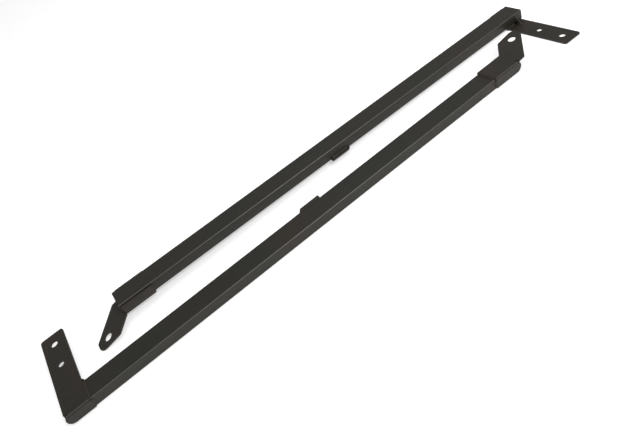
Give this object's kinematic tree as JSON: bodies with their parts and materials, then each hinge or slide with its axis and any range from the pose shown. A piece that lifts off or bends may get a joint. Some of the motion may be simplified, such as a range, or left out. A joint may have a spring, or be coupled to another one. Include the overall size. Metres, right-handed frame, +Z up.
{
  "type": "bed cargo bar",
  "caption": "Left- and right-hand pair of black steel bed cargo bars, each a rectangular tube with a drilled strap bracket at one end, a bent ear bracket at the other and a clip between.",
  "frame": {"origin": "on the floor, under the middle of the pair's box", "axes": "+X along both bars, from the left bar's strap bracket to its ear; +Y across the pair, from the left bar to the right bar; +Z up"},
  "size_m": [1.347, 0.2474, 0.0459],
  "materials": {
    "tube_paint": "satin black paint on drawn rectangular steel tube",
    "bracket_paint": "satin black paint on cut and folded steel sheet",
    "weld_paint": "satin black paint over fillet weld beads"
  },
  "bodies": {
    "left_bar": {"left_main_tube": "tube_paint", "left_strap_bracket": "bracket_paint", "left_gusset": "bracket_paint", "left_ear_bracket": "bracket_paint", "left_centre_clip": "bracket_paint", "left_strap_top_weld": "weld_paint", "left_strap_side_weld": "weld_paint", "left_strap_corner_weld": "weld_paint", "left_strap_seam_weld": "weld_paint", "left_gusset_side_weld": "weld_paint", "left_gusset_foot_weld": "weld_paint", "left_saddle_top_weld": "weld_paint", "left_saddle_outer_weld": "weld_paint", "left_saddle_inner_weld": "weld_paint", "left_clip_weld": "weld_paint"},
    "right_bar": {"right_main_tube": "tube_paint", "right_strap_bracket": "bracket_paint", "right_gusset": "bracket_paint", "right_ear_bracket": "bracket_paint", "right_centre_clip": "bracket_paint", "right_strap_top_weld": "weld_paint", "right_strap_side_weld": "weld_paint", "right_strap_corner_weld": "weld_paint", "right_strap_seam_weld": "weld_paint", "right_gusset_side_weld": "weld_paint", "right_gusset_foot_weld": "weld_paint", "right_saddle_top_weld": "weld_paint", "right_saddle_outer_weld": "weld_paint", "right_saddle_inner_weld": "weld_paint", "right_clip_weld": "weld_paint"}
  },
  "joints": [
    {"name": "right_bar_lift", "type": "slide", "parent": "left_bar", "child": "right_bar", "axis": [0, 0, 1], "range_m": [0, 0.25]}
  ]
}
